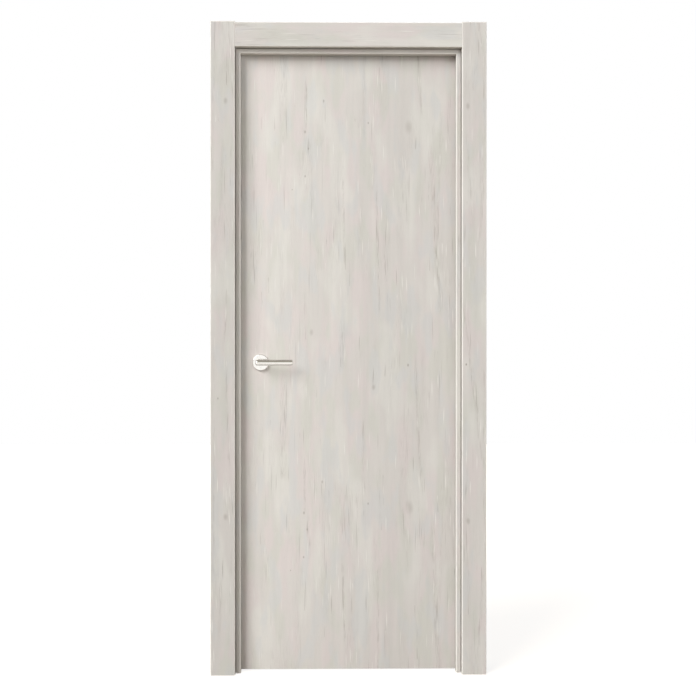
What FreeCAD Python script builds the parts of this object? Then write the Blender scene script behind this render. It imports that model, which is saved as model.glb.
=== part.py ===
"""Flush hollow core door in its rebated frame, with casings on both faces of the wall.

Millimetres, +Z up. The origin lies on the outer (wall) face of the hinge jamb, at floor level and
halfway through the jamb's depth. The doorway runs towards -X, and the stop side of the frame, from
which the leaf is seen set back in its reveal, faces -Y. The leaf opens towards +Y.
"""
import FreeCAD, Part
import math
import os
import Sketcher

Vector = FreeCAD.Vector

# Driving dimensions, each written once
SIZES = {
    "leaf_width": 725,
    "leaf_height": 2030,
    "leaf_thickness": 40,
    "leaf_gap": 5,
    "floor_gap": 5,
    "edge_bevel": 2,
    "skin_thickness": 3.2,
    "stile_width": 35,
    "rail_height": 45,
    "core_cell": 62,
    "core_wall": 1.2,
    "core_clearance": 0.2,
    "lock_block_width": 80,
    "lock_block_height": 300,
    "jamb_back": 20,
    "stop_rise": 15,
    "stop_depth": 25,
    "stop_gap": 5,
    "jamb_arris": 3,
    "groove_setback": 14.5,
    "groove_depth": 10,
    "casing_width": 80,
    "casing_thickness": 12,
    "casing_standoff": 10,
    "casing_arris": 3,
    "leg_thickness": 8,
    "leg_entry": 8,
    "leg_shadow_gap": 2,
    "leg_clearance": 0.3,
    "side_casing_proud": 3,
    "rear_casing_setback": 8.5,
    "seal_width": 8,
    "seal_round": 1.5,
    "seal_inset": 2,
    "seal_clearance": 0.3,
    "seal_tongue": 2,
    "seal_tongue_depth": 6,
    "kerf_clearance": 0.1,
    "hinge_height": 100,
    "hinge_plate": 3,
    "hinge_plate_reach": 35,
    "hinge_barrel_radius": 6,
    "hinge_pin_radius": 3.5,
    "hinge_pin_clearance": 0.05,
    "hinge_pin_standoff": 8,
    "hinge_knuckle_gap": 0.4,
    "hinge_swing_gap": 1,
    "hinge_pin_head": 2.5,
    "hinge_pin_round": 1.5,
    "hinge_screw_radius": 2.4,
    "hinge_screw_sink": 1.8,
    "hinge_top_distance": 150,
    "hinge_bottom_distance": 200,
    "handle_height": 1016,
    "handle_backset": 74,
    "rosette_radius": 26.5,
    "rosette_depth": 8,
    "rosette_rim": 2,
    "lever_radius": 10,
    "lever_neck_radius": 9,
    "lever_projection": 45,
    "lever_reach": 108,
    "lever_overhang": 14.5,
    "lever_end_round": 6,
    "lever_clearance": 0.05,
    "spindle_side": 8,
    "spindle_clearance": 0.1,
    "spindle_entry": 30,
    "follower_radius": 8,
    "latch_radius": 11,
    "latch_bore_clearance": 0.3,
    "latch_beyond_spindle": 12,
    "handle_bore_radius": 12.5,
    "forend_width": 24,
    "forend_height": 57,
    "forend_thickness": 2.5,
    "bolt_width": 12,
    "bolt_height": 16,
    "bolt_length": 28,
    "bolt_proud": 1,
    "bolt_nose_slope": 8.5,
    "bolt_clearance": 0.1,
    "latch_screw_radius": 2.1,
    "latch_screw_sink": 1.3,
    "latch_screw_inset": 8.5,
    "strike_margin": 4,
    "strike_thickness": 2,
    "strike_mouth_extra": 3,
    "strike_box_depth": 12,
}

doc = FreeCAD.newDocument("FlushDoor")
sheet = doc.addObject("Spreadsheet::Sheet", "Sizes")
for row, (alias, value) in enumerate(SIZES.items(), start=1):
    sheet.set(f"A{row}", str(value))
    sheet.setAlias(f"A{row}", alias)
doc.recompute()


def size(alias):
    """The number a cell of the sheet holds now."""
    return float(getattr(sheet, alias))


# Lines of the doorway across its width, as expressions bound to the sheet
JAMB = "(Sizes.jamb_back + Sizes.stop_rise)"
FRAME_WIDTH = "(Sizes.leaf_width + 2 * Sizes.leaf_gap + 2 * Sizes.jamb_back)"
HINGE_EDGE = "(-Sizes.jamb_back - Sizes.leaf_gap)"
LATCH_EDGE = f"({HINGE_EDGE} - Sizes.leaf_width)"
HANDLE_X = f"({LATCH_EDGE} + Sizes.handle_backset)"

# Lines through the depth, from the stop side to the side the leaf opens to
JAMB_DEPTH = "(Sizes.stop_depth + Sizes.stop_gap + Sizes.leaf_thickness)"
JAMB_FRONT = f"(-{JAMB_DEPTH} / 2)"
STOP_BACK = f"({JAMB_FRONT} + Sizes.stop_depth)"
LEAF_FRONT = f"({STOP_BACK} + Sizes.stop_gap)"
LEAF_MIDDLE = f"({LEAF_FRONT} + Sizes.leaf_thickness / 2)"
LEAF_BACK = f"({LEAF_FRONT} + Sizes.leaf_thickness)"
CORE_FRONT = f"({LEAF_FRONT} + Sizes.skin_thickness)"
CORE_BACK = f"({LEAF_BACK} - Sizes.skin_thickness)"
CASING_BACK = f"({JAMB_FRONT} - Sizes.casing_standoff)"
CASING_FRONT = f"({CASING_BACK} - Sizes.casing_thickness)"
LEG_END = f"({JAMB_FRONT} + Sizes.leg_entry)"

# Heights
LEAF_TOP = "(Sizes.floor_gap + Sizes.leaf_height)"
REBATE_TOP = f"({LEAF_TOP} + Sizes.leaf_gap)"
FRAME_TOP = f"({REBATE_TOP} + Sizes.jamb_back)"

# Distances from the jamb's outer face inwards, the same at both sides and at the head
GROOVE_INNER = f"({JAMB} - Sizes.groove_setback)"
LEG_INNER = f"({GROOVE_INNER} - Sizes.leg_shadow_gap)"
LEG_OUTER = f"({LEG_INNER} - Sizes.leg_thickness)"
GROOVE_OUTER = f"({LEG_OUTER} - Sizes.leg_clearance)"
CASING_OUTER = f"({LEG_INNER} - Sizes.casing_width)"
REAR_INNER = "(Sizes.jamb_back - Sizes.rear_casing_setback)"


def inward(side, distance):
    """X of a line at a distance in from the outer face of one jamb."""
    if side == "hinge":
        return f"(-{distance})"
    return f"(-{FRAME_WIDTH} + {distance})"


def below_top(distance):
    """Z of a line at a distance down from the outer face of the head."""
    return f"({FRAME_TOP} - {distance})"


def latch_edge_at(depth_line):
    """X of the leaf's bevelled latch edge at a line through its depth."""
    return f"({LATCH_EDGE} + Sizes.edge_bevel * ({LEAF_BACK} - {depth_line}) / Sizes.leaf_thickness)"


def new_body(label):
    body = doc.addObject("PartDesign::Body", label)
    body.Label = label
    return body


def origin_plane(body, role):
    return next(item for item in body.Origin.OriginFeatures if item.Role == role)


def new_sketch(body, plane, offset="0"):
    """An empty sketch on one of the body's own origin planes, lifted along the plane's normal."""
    sketch = body.newObject("Sketcher::SketchObject", body.Label + "_sketch")
    sketch.AttachmentSupport = [(origin_plane(body, plane), "")]
    sketch.MapMode = "FlatFace"
    sketch.setExpression("AttachmentOffset.Base.z", offset)
    return sketch


def fix_point(sketch, geometry, point, x, y):
    """Tie one point of a sketch to a place given by two expressions."""
    for axis, kind, expression in (("x", "DistanceX", x), ("y", "DistanceY", y)):
        index = sketch.addConstraint(Sketcher.Constraint(kind, -1, 1, geometry, point, 1.0))
        name = f"{axis}_{geometry}_{point}"
        sketch.renameConstraint(index, name)
        sketch.setExpression(f"Constraints.{name}", expression)


def polygon(body, plane, corners, offset="0"):
    """A closed outline of straight lines through corners, each given by two expressions."""
    sketch = new_sketch(body, plane, offset)
    count = len(corners)
    start = [Vector(math.cos(2 * math.pi * i / count), math.sin(2 * math.pi * i / count), 0)
             for i in range(count)]
    for i in range(count):
        sketch.addGeometry(Part.LineSegment(start[i], start[(i + 1) % count]), False)
    for i in range(count):
        sketch.addConstraint(Sketcher.Constraint("Coincident", i, 2, (i + 1) % count, 1))
    for i, (x, y) in enumerate(corners):
        fix_point(sketch, i, 1, x, y)
    return sketch


def rectangle(body, plane, x_low, x_high, y_low, y_high, offset="0"):
    corners = [(x_low, y_low), (x_high, y_low), (x_high, y_high), (x_low, y_high)]
    return polygon(body, plane, corners, offset)


def circles(body, plane, centers, radius, offset="0"):
    """Equal circles about centers, each given by two expressions."""
    sketch = new_sketch(body, plane, offset)
    for i, (x, y) in enumerate(centers):
        sketch.addGeometry(Part.Circle(Vector(1, 1 + 3 * i, 0), Vector(0, 0, 1), 1), False)
        fix_point(sketch, i, 3, x, y)
        index = sketch.addConstraint(Sketcher.Constraint("Radius", i, 1.0))
        sketch.renameConstraint(index, f"radius_{i}")
        sketch.setExpression(f"Constraints.radius_{i}", radius)
    return sketch


def circle(body, plane, x, y, radius, offset="0"):
    return circles(body, plane, [(x, y)], radius, offset)


def pad(body, sketch, length):
    """Raise a sketch along its plane's normal."""
    feature = body.newObject("PartDesign::Pad", body.Label + "_pad")
    feature.Profile = sketch
    feature.setExpression("Length", length)
    sketch.Visibility = False
    doc.recompute()
    return feature


def cut_through(body, sketch):
    """Cut a sketch out of the body, all the way through in both directions."""
    volume = body.Shape.Volume
    feature = body.newObject("PartDesign::Pocket", body.Label + "_cut")
    feature.Profile = sketch
    feature.SideType = "Symmetric"
    feature.Type = "ThroughAll"
    doc.recompute()
    if not body.Shape.Volume < volume:
        raise RuntimeError(f"a cut in {body.Label} removes nothing")
    return feature


def cut_between(body, sketch, length):
    """Cut a sketch out of the body along its plane's normal, for a length."""
    volume = body.Shape.Volume
    feature = body.newObject("PartDesign::Pocket", body.Label + "_cut")
    feature.Profile = sketch
    feature.Reversed = True
    feature.setExpression("Length", length)
    doc.recompute()
    if not body.Shape.Volume < volume:
        raise RuntimeError(f"a cut in {body.Label} removes nothing")
    return feature


def straight_edges(shape, picks):
    """Names of the straight edges whose two ends both pass one of the picks."""
    names = []
    for number, edge in enumerate(shape.Edges, start=1):
        ends = [vertex.Point for vertex in edge.Vertexes]
        if len(ends) == 2 and any(all(pick(end) for end in ends) for pick in picks):
            names.append(f"Edge{number}")
    return names


def round_edges(body, names, radius):
    base = body.Tip
    feature = body.newObject("PartDesign::Fillet", body.Label + "_arris")
    feature.Base = (base, names)
    feature.setExpression("Radius", radius)
    doc.recompute()
    return feature


def near(value, line):
    return abs(value - line) < 0.001


def screw_holes(body, centers, kind, outward):
    """Holes through a plate that lies across X, countersunk on the side that looks outward."""
    cut_through(body, circles(body, "YZ_Plane", centers, f"Sizes.{kind}_screw_radius"))
    width = 2 * size(f"{kind}_screw_radius")
    rims = {f"Edge{number}": outward * edge.BoundBox.XMin
            for number, edge in enumerate(body.Shape.Edges, start=1)
            if edge.Closed and near(edge.BoundBox.YLength, width) and near(edge.BoundBox.ZLength, width)}
    face = max(rims.values())
    base = body.Tip
    feature = body.newObject("PartDesign::Chamfer", body.Label + "_countersinks")
    feature.Base = (base, [name for name, x in rims.items() if near(x, face)])
    feature.setExpression("Size", f"Sizes.{kind}_screw_sink")
    doc.recompute()


def along_z(section, label, low, high):
    """A body that pads a section, given by X and Y expressions, from one height to another."""
    body = new_body(label)
    pad(body, polygon(body, "XY_Plane", section, low), f"{high} - {low}")
    return body


def along_x(section, label, low, high):
    """A body that pads a section, given by Y and Z expressions, from one X to another."""
    body = new_body(label)
    pad(body, polygon(body, "YZ_Plane", section, low), f"{high} - {low}")
    return body


# XZ_Plane looks towards -Y: its offset runs along -Y, and a pad from it grows along -Y
def pad_in_depth(body, corners, front, back):
    return pad(body, polygon(body, "XZ_Plane", corners, f"-{back}"), f"{back} - {front}")


def cut_in_depth(body, corners, front, back):
    return cut_between(body, polygon(body, "XZ_Plane", corners, f"-{back}"), f"{back} - {front}")


def side_strip(side, outer, inner):
    """Corners of an upright strip between two lines of the frame, mitred at its top."""
    return [(inward(side, outer), "0"), (inward(side, inner), "0"),
            (inward(side, inner), below_top(inner)), (inward(side, outer), below_top(outer))]


def head_strip(outer, inner):
    """Corners of a strip along the head between two lines of the frame, mitred at both ends."""
    return [(inward("latch", outer), below_top(outer)), (inward("hinge", outer), below_top(outer)),
            (inward("hinge", inner), below_top(inner)), (inward("latch", inner), below_top(inner))]


# Places of the hinges, which the frame and the leaf are recessed for
HINGE_FEET = {
    "top": f"({LEAF_TOP} - Sizes.hinge_top_distance - Sizes.hinge_height)",
    "middle": f"(Sizes.floor_gap + Sizes.leaf_height / 2 - Sizes.hinge_height / 2)",
    "bottom": "(Sizes.floor_gap + Sizes.hinge_bottom_distance)",
}
PIN_X = "(-Sizes.jamb_back - Sizes.leaf_gap / 2)"
PIN_Y = f"({LEAF_BACK} + Sizes.hinge_pin_standoff)"
PLATE_FRONT = f"({PIN_Y} - Sizes.hinge_plate_reach)"

# Seal: a strip in the rebate with a tongue in the stop's kerf, just clear of the shut leaf
SEAL_INNER = f"({JAMB} - Sizes.seal_inset)"
SEAL_OUTER = f"({SEAL_INNER} - Sizes.seal_width)"
SEAL_BACK = f"({LEAF_FRONT} - Sizes.seal_clearance)"
TONGUE_MIDDLE = f"({SEAL_INNER} - Sizes.seal_width / 2)"
TONGUE_INNER = f"({TONGUE_MIDDLE} + Sizes.seal_tongue / 2)"
TONGUE_OUTER = f"({TONGUE_MIDDLE} - Sizes.seal_tongue / 2)"
TONGUE_FRONT = f"({STOP_BACK} - Sizes.seal_tongue_depth)"
KERF_INNER = f"({TONGUE_INNER} + Sizes.kerf_clearance)"
KERF_OUTER = f"({TONGUE_OUTER} - Sizes.kerf_clearance)"
KERF_FRONT = f"({TONGUE_FRONT} - Sizes.kerf_clearance)"


# Frame: rebated jambs and head, mitred where they meet
JAMB_LAYERS = (
    (JAMB, JAMB_FRONT, STOP_BACK),
    ("Sizes.jamb_back", STOP_BACK, LEAF_BACK),
)
GROOVE_BACK = f"({JAMB_FRONT} + Sizes.groove_depth)"


def jamb_side(side):
    """An upright of the frame: stop, rebate, casing groove and seal kerf in one section."""
    body = new_body(f"jamb_{side}_side")
    for thickness, front, back in JAMB_LAYERS:
        pad_in_depth(body, side_strip(side, "0", thickness), front, back)
    box = body.Shape.BoundBox
    stop_face = box.XMin if side == "hinge" else box.XMax
    arris = [lambda point: near(point.y, box.YMin) and near(point.x, stop_face)]
    round_edges(body, straight_edges(body.Shape, arris), "Sizes.jamb_arris")
    cut_in_depth(body, side_strip(side, GROOVE_OUTER, GROOVE_INNER), JAMB_FRONT, GROOVE_BACK)
    cut_in_depth(body, side_strip(side, KERF_OUTER, KERF_INNER), KERF_FRONT, STOP_BACK)
    return body


def jamb_head():
    """The head of the frame, with the same section as the uprights."""
    body = new_body("jamb_head")
    for thickness, front, back in JAMB_LAYERS:
        pad_in_depth(body, head_strip("0", thickness), front, back)
    box = body.Shape.BoundBox
    arris = [lambda point: near(point.y, box.YMin) and near(point.z, box.ZMin)]
    round_edges(body, straight_edges(body.Shape, arris), "Sizes.jamb_arris")
    cut_in_depth(body, head_strip(GROOVE_OUTER, GROOVE_INNER), JAMB_FRONT, GROOVE_BACK)
    cut_in_depth(body, head_strip(KERF_OUTER, KERF_INNER), KERF_FRONT, STOP_BACK)


def seal(label, corners):
    """A strip rounded towards the leaf, with a tongue; corners gives an outline between two lines."""
    body = new_body(label)
    pad_in_depth(body, corners(SEAL_OUTER, SEAL_INNER), STOP_BACK, SEAL_BACK)
    box = body.Shape.BoundBox
    longest = max(box.XLength, box.ZLength)
    facing_leaf = straight_edges(body.Shape, [lambda point: near(point.y, box.YMax)])
    lengths = {f"Edge{number}": edge.Length for number, edge in enumerate(body.Shape.Edges, start=1)}
    round_edges(body, [name for name in facing_leaf if lengths[name] > longest / 2], "Sizes.seal_round")
    pad_in_depth(body, corners(TONGUE_OUTER, TONGUE_INNER), TONGUE_FRONT, STOP_BACK)


# Casings: L-shaped boards on the stop side, with a leg in the jamb's groove, and plain ones behind
CASING_TOP = below_top(CASING_OUTER)
SIDE_CASING_TOP = f"({CASING_TOP} + Sizes.side_casing_proud)"


def casing_front_side(label, side):
    """A side board; its leg stops at the head, where the wall begins behind the board."""
    body = new_body(label)
    board = rectangle(body, "XY_Plane", inward(side, CASING_OUTER), inward(side, LEG_INNER),
                      CASING_FRONT, CASING_BACK)
    pad(body, board, SIDE_CASING_TOP)
    leg = rectangle(body, "XY_Plane", inward(side, LEG_OUTER), inward(side, LEG_INNER), CASING_BACK, LEG_END)
    pad(body, leg, below_top(LEG_OUTER))
    box = body.Shape.BoundBox
    picks = [
        lambda point: near(point.y, box.YMin) and near(point.x, box.XMin),
        lambda point: near(point.y, box.YMin) and near(point.x, box.XMax),
        lambda point: near(point.y, box.YMin) and near(point.z, box.ZMax),
    ]
    round_edges(body, straight_edges(body.Shape, picks), "Sizes.casing_arris")
    return body


def casing_front_head():
    """The head board, butted between the side boards."""
    section = [
        (CASING_FRONT, below_top(LEG_INNER)),
        (LEG_END, below_top(LEG_INNER)),
        (LEG_END, below_top(LEG_OUTER)),
        (CASING_BACK, below_top(LEG_OUTER)),
        (CASING_BACK, CASING_TOP),
        (CASING_FRONT, CASING_TOP),
    ]
    body = along_x(section, "casing_front_head", inward("latch", LEG_INNER), inward("hinge", LEG_INNER))
    box = body.Shape.BoundBox
    picks = [
        lambda point: near(point.y, box.YMin) and near(point.z, box.ZMin),
        lambda point: near(point.y, box.YMin) and near(point.z, box.ZMax),
    ]
    round_edges(body, straight_edges(body.Shape, picks), "Sizes.casing_arris")
    return body


REAR_CASING_BACK = f"({LEAF_BACK} + Sizes.casing_thickness)"


def casing_rear_side(label, side):
    section = [
        (inward(side, REAR_INNER), LEAF_BACK),
        (inward(side, CASING_OUTER), LEAF_BACK),
        (inward(side, CASING_OUTER), REAR_CASING_BACK),
        (inward(side, REAR_INNER), REAR_CASING_BACK),
    ]
    body = along_z(section, label, "0", SIDE_CASING_TOP)
    box = body.Shape.BoundBox
    picks = [
        lambda point: near(point.y, box.YMax) and near(point.x, box.XMin),
        lambda point: near(point.y, box.YMax) and near(point.x, box.XMax),
        lambda point: near(point.y, box.YMax) and near(point.z, box.ZMax),
    ]
    round_edges(body, straight_edges(body.Shape, picks), "Sizes.casing_arris")
    return body


def casing_rear_head():
    section = [
        (LEAF_BACK, below_top(REAR_INNER)),
        (REAR_CASING_BACK, below_top(REAR_INNER)),
        (REAR_CASING_BACK, CASING_TOP),
        (LEAF_BACK, CASING_TOP),
    ]
    body = along_x(section, "casing_rear_head", inward("latch", REAR_INNER), inward("hinge", REAR_INNER))
    box = body.Shape.BoundBox
    picks = [
        lambda point: near(point.y, box.YMax) and near(point.z, box.ZMin),
        lambda point: near(point.y, box.YMax) and near(point.z, box.ZMax),
    ]
    round_edges(body, straight_edges(body.Shape, picks), "Sizes.casing_arris")
    return body


# Hinges: five-knuckle butt hinges, each leaf drawn about its own pin, foot at height zero
# Screws of a hinge plate: shares of its reach back from the pin and of its height
HINGE_SCREWS = ((0.79, 0.14), (0.46, 0.38), (0.79, 0.62), (0.46, 0.86))
KNUCKLE_COUNT = 5
KNUCKLE = f"(Sizes.hinge_height / {KNUCKLE_COUNT})"
BARREL_EDGE = "(-Sizes.hinge_barrel_radius - Sizes.hinge_swing_gap)"


def hinge_leaf(label, side, first_knuckle, height):
    """One leaf of a hinge: plate, every second knuckle, the bore of the pin and the screw holes."""
    body = new_body(label)
    inner = "Sizes.leaf_gap / 2"
    outer = "(Sizes.leaf_gap / 2 + Sizes.hinge_plate)"
    x_low, x_high = (inner, outer) if side == "frame" else (f"-{outer}", f"-{inner}")
    plate = rectangle(body, "XY_Plane", x_low, x_high, "-Sizes.hinge_plate_reach", BARREL_EDGE)
    pad(body, plate, "Sizes.hinge_height")
    for number in range(first_knuckle, KNUCKLE_COUNT, 2):
        low = f"({KNUCKLE} * {number} + Sizes.hinge_knuckle_gap / 2)"
        length = f"({KNUCKLE} - Sizes.hinge_knuckle_gap)"
        strap = rectangle(body, "XY_Plane", x_low, x_high, BARREL_EDGE, "0", low)
        pad(body, strap, length)
        pad(body, circle(body, "XY_Plane", "0", "0", "Sizes.hinge_barrel_radius", low), length)
    bore = circle(body, "XY_Plane", "0", "0", "Sizes.hinge_pin_radius + Sizes.hinge_pin_clearance")
    cut_through(body, bore)
    centers = [(f"-Sizes.hinge_plate_reach * {back}", f"Sizes.hinge_height * {up}")
               for back, up in HINGE_SCREWS]
    screw_holes(body, centers, "hinge", -1 if side == "frame" else 1)
    place(body, PIN_X, PIN_Y, height)
    return body


def hinge_pin(label, height):
    """A pin with a button head, from the barrel's foot to just over its top."""
    body = new_body(label)
    pad(body, circle(body, "XY_Plane", "0", "0", "Sizes.hinge_pin_radius"), "Sizes.hinge_height")
    head = circle(body, "XY_Plane", "0", "0", "Sizes.hinge_barrel_radius", "Sizes.hinge_height")
    pad(body, head, "Sizes.hinge_pin_head")
    rims = [f"Edge{number}" for number, edge in enumerate(body.Shape.Edges, start=1)
            if edge.Closed and near(edge.BoundBox.ZMin, body.Shape.BoundBox.ZMax)]
    round_edges(body, rims, "Sizes.hinge_pin_round")
    place(body, PIN_X, PIN_Y, height)
    return body


def place(body, x, y, z):
    body.setExpression("Placement.Base.x", x)
    body.setExpression("Placement.Base.y", y)
    body.setExpression("Placement.Base.z", z)
    doc.recompute()


def hinge_recess(body, side):
    """Let the plates of all three hinges in flush with an edge of the frame or of the leaf."""
    if side == "frame":
        x_low, x_high = "-Sizes.jamb_back", "(-Sizes.jamb_back + Sizes.hinge_plate)"
    else:
        x_low, x_high = f"({HINGE_EDGE} - Sizes.hinge_plate)", HINGE_EDGE
    for low in HINGE_FEET.values():
        outline = rectangle(body, "XY_Plane", x_low, x_high, PLATE_FRONT, LEAF_BACK, low)
        cut_between(body, outline, "Sizes.hinge_height")


# Leaf: two skins on a softwood perimeter, a lock block and an open-celled core
STILE_HINGE_INNER = f"({HINGE_EDGE} - Sizes.stile_width)"
STILE_LATCH_INNER = f"({LATCH_EDGE} + Sizes.stile_width)"
RAIL_BOTTOM_TOP = "(Sizes.floor_gap + Sizes.rail_height)"
RAIL_TOP_BOTTOM = f"({LEAF_TOP} - Sizes.rail_height)"
BLOCK_INNER = f"({STILE_LATCH_INNER} + Sizes.lock_block_width)"
BLOCK_LOW = "(Sizes.handle_height - Sizes.lock_block_height / 2)"


def spindle_bore(body):
    """The round hole for the spindle, hidden under the rosettes."""
    cut_through(body, circle(body, "XZ_Plane", HANDLE_X, "Sizes.handle_height", "Sizes.handle_bore_radius"))


def latch_bore(body):
    """The round hole for the latch, bored in from the leaf's edge."""
    radius = "Sizes.latch_radius + Sizes.latch_bore_clearance"
    hole = circle(body, "YZ_Plane", LEAF_MIDDLE, "Sizes.handle_height", radius, LATCH_EDGE)
    cut_between(body, hole, f"{LATCH_BACK} + Sizes.latch_bore_clearance - {LATCH_EDGE}")


def skin(label, front, back):
    corners = [(latch_edge_at(front), front), (HINGE_EDGE, front),
               (HINGE_EDGE, back), (latch_edge_at(back), back)]
    body = along_z(corners, label, "Sizes.floor_gap", LEAF_TOP)
    spindle_bore(body)
    return body


def leaf_frame():
    """Stiles, rails and lock block: the softwood that the skins are pressed on."""
    hinge_stile = along_z(
        [(STILE_HINGE_INNER, CORE_FRONT), (HINGE_EDGE, CORE_FRONT),
         (HINGE_EDGE, CORE_BACK), (STILE_HINGE_INNER, CORE_BACK)],
        "stile_hinge", "Sizes.floor_gap", LEAF_TOP)
    latch_stile = along_z(
        [(latch_edge_at(CORE_FRONT), CORE_FRONT), (STILE_LATCH_INNER, CORE_FRONT),
         (STILE_LATCH_INNER, CORE_BACK), (latch_edge_at(CORE_BACK), CORE_BACK)],
        "stile_latch", "Sizes.floor_gap", LEAF_TOP)
    for label, low, high in (("rail_top", RAIL_TOP_BOTTOM, LEAF_TOP),
                             ("rail_bottom", "Sizes.floor_gap", RAIL_BOTTOM_TOP)):
        along_z(
            [(STILE_LATCH_INNER, CORE_FRONT), (STILE_HINGE_INNER, CORE_FRONT),
             (STILE_HINGE_INNER, CORE_BACK), (STILE_LATCH_INNER, CORE_BACK)],
            label, low, high)
    block = along_z(
        [(STILE_LATCH_INNER, CORE_FRONT), (BLOCK_INNER, CORE_FRONT),
         (BLOCK_INNER, CORE_BACK), (STILE_LATCH_INNER, CORE_BACK)],
        "lock_block", BLOCK_LOW, f"({BLOCK_LOW} + Sizes.lock_block_height)")
    hinge_recess(hinge_stile, "leaf")
    forend_recess(latch_stile)
    latch_bore(latch_stile)
    latch_bore(block)
    spindle_bore(block)


def hexagon(center_x, center_z, radius, depth):
    """A cell of the core as a closed wire, flats on its left and right."""
    points = []
    for corner in range(7):
        angle = math.radians(60 * corner + 30)
        points.append(Vector(center_x + radius * math.cos(angle), depth, center_z + radius * math.sin(angle)))
    return Part.makePolygon(points)


def core_lattice():
    """Expanded paper core: hexagonal cells between stiles and rails, left out at the lock block."""
    clearance = size("core_clearance")
    hinge_edge = -size("jamb_back") - size("leaf_gap")
    x_high = hinge_edge - size("stile_width") - clearance
    x_low = hinge_edge - size("leaf_width") + size("stile_width") + clearance
    z_low = size("floor_gap") + size("rail_height") + clearance
    z_high = size("floor_gap") + size("leaf_height") - size("rail_height") - clearance
    depth_front = -(size("stop_depth") + size("stop_gap") + size("leaf_thickness")) / 2 \
        + size("stop_depth") + size("stop_gap") + size("skin_thickness") + clearance
    depth = size("leaf_thickness") - 2 * size("skin_thickness") - 2 * clearance
    block_x = hinge_edge - size("leaf_width") + size("stile_width") + size("lock_block_width")
    block_low = size("handle_height") - size("lock_block_height") / 2
    block_high = block_low + size("lock_block_height")

    pitch = size("core_cell")
    wall = size("core_wall")
    radius = (pitch - wall) / math.sqrt(3)
    row_pitch = pitch * math.sqrt(3) / 2
    columns = int((x_high - x_low - wall) // pitch)
    rows = int((z_high - z_low - wall - 2 * radius) // row_pitch) + 1
    first_x = (x_low + x_high) / 2 - pitch * (columns - 1) / 2
    first_z = (z_low + z_high) / 2 - row_pitch * (rows - 1) / 2

    def in_block(x, z):
        keep = pitch / 2 + wall
        return x < block_x + keep and block_low - keep < z < block_high + keep

    def frame_wire(left, right, low, high):
        return Part.makePolygon([Vector(left, depth_front, low), Vector(right, depth_front, low),
                                 Vector(right, depth_front, high), Vector(left, depth_front, high),
                                 Vector(left, depth_front, low)])

    cells = []
    for row in range(rows):
        shift = pitch / 2 if row % 2 else 0
        for column in range(columns - row % 2):
            x = first_x + pitch * column + shift
            z = first_z + row_pitch * row
            if not in_block(x, z):
                cells.append(hexagon(x, z, radius, depth_front))
    outline = frame_wire(x_low, x_high, z_low, z_high)
    sheet_face = Part.makeFace([outline] + cells, "Part::FaceMakerBullseye")
    core = sheet_face.extrude(Vector(0, depth, 0))
    notch = Part.makeBox(block_x - x_low + 2 * clearance, depth, block_high - block_low + 2 * clearance,
                         Vector(x_low - clearance, depth_front, block_low - clearance))
    feature = doc.addObject("Part::Feature", "core_lattice")
    feature.Label = "core_lattice"
    feature.Shape = core.cut(notch)
    feature.Placement = FreeCAD.Placement()
    return feature


# Latch: a round case bored into the leaf's edge, its forend, and the bolt drawn back flush
FOREND_LOW_Y = f"({LEAF_MIDDLE} - Sizes.forend_width / 2)"
FOREND_HIGH_Y = f"({LEAF_MIDDLE} + Sizes.forend_width / 2)"
FOREND_LOW = "(Sizes.handle_height - Sizes.forend_height / 2)"
FOREND_FACE = latch_edge_at(FOREND_LOW_Y)
FOREND_BACK = f"({FOREND_FACE} + Sizes.forend_thickness)"
LATCH_BACK = f"({HANDLE_X} + Sizes.latch_beyond_spindle)"


def forend_outline(body, offset):
    return rectangle(body, "YZ_Plane", FOREND_LOW_Y, FOREND_HIGH_Y, FOREND_LOW,
                     f"({FOREND_LOW} + Sizes.forend_height)", offset)


def plate_screws(body, low, high, outward):
    """Two screw holes of a latch plate, one near each end."""
    centers = [(LEAF_MIDDLE, f"{low} + Sizes.latch_screw_inset"),
               (LEAF_MIDDLE, f"{high} - Sizes.latch_screw_inset")]
    screw_holes(body, centers, "latch", outward)


def forend_recess(body):
    cut_between(body, forend_outline(body, LATCH_EDGE), f"{FOREND_BACK} - {LATCH_EDGE}")


def bolt_outline(body, clearance, offset):
    half_width = f"(Sizes.bolt_width / 2 + {clearance})"
    half_height = f"(Sizes.bolt_height / 2 + {clearance})"
    return rectangle(body, "YZ_Plane", f"{LEAF_MIDDLE} - {half_width}", f"{LEAF_MIDDLE} + {half_width}",
                     f"Sizes.handle_height - {half_height}", f"Sizes.handle_height + {half_height}", offset)


def latch():
    forend = new_body("latch_forend")
    pad(forend, forend_outline(forend, FOREND_FACE), "Sizes.forend_thickness")
    cut_through(forend, bolt_outline(forend, "Sizes.bolt_clearance", FOREND_FACE))
    plate_screws(forend, FOREND_LOW, f"({FOREND_LOW} + Sizes.forend_height)", -1)

    case = new_body("latch_case")
    tube = circle(case, "YZ_Plane", LEAF_MIDDLE, "Sizes.handle_height", "Sizes.latch_radius", FOREND_BACK)
    pad(case, tube, f"{LATCH_BACK} - {FOREND_BACK}")
    pocket = bolt_outline(case, "Sizes.bolt_clearance", FOREND_BACK)
    cut_between(case, pocket, "Sizes.bolt_length + Sizes.bolt_clearance")
    bore = circle(case, "XZ_Plane", HANDLE_X, "Sizes.handle_height",
                  "Sizes.follower_radius + Sizes.lever_clearance")
    cut_through(case, bore)

    bolt = new_body("latch_bolt")
    nose = f"({FOREND_FACE} - Sizes.bolt_proud)"
    low, high = f"({LEAF_MIDDLE} - Sizes.bolt_width / 2)", f"({LEAF_MIDDLE} + Sizes.bolt_width / 2)"
    tail = f"({nose} + Sizes.bolt_length)"
    slope = f"({nose} + Sizes.bolt_nose_slope)"
    outline = polygon(bolt, "XY_Plane", [(nose, low), (tail, low), (tail, high), (slope, high)],
                      "Sizes.handle_height - Sizes.bolt_height / 2")
    pad(bolt, outline, "Sizes.bolt_height")


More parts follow.
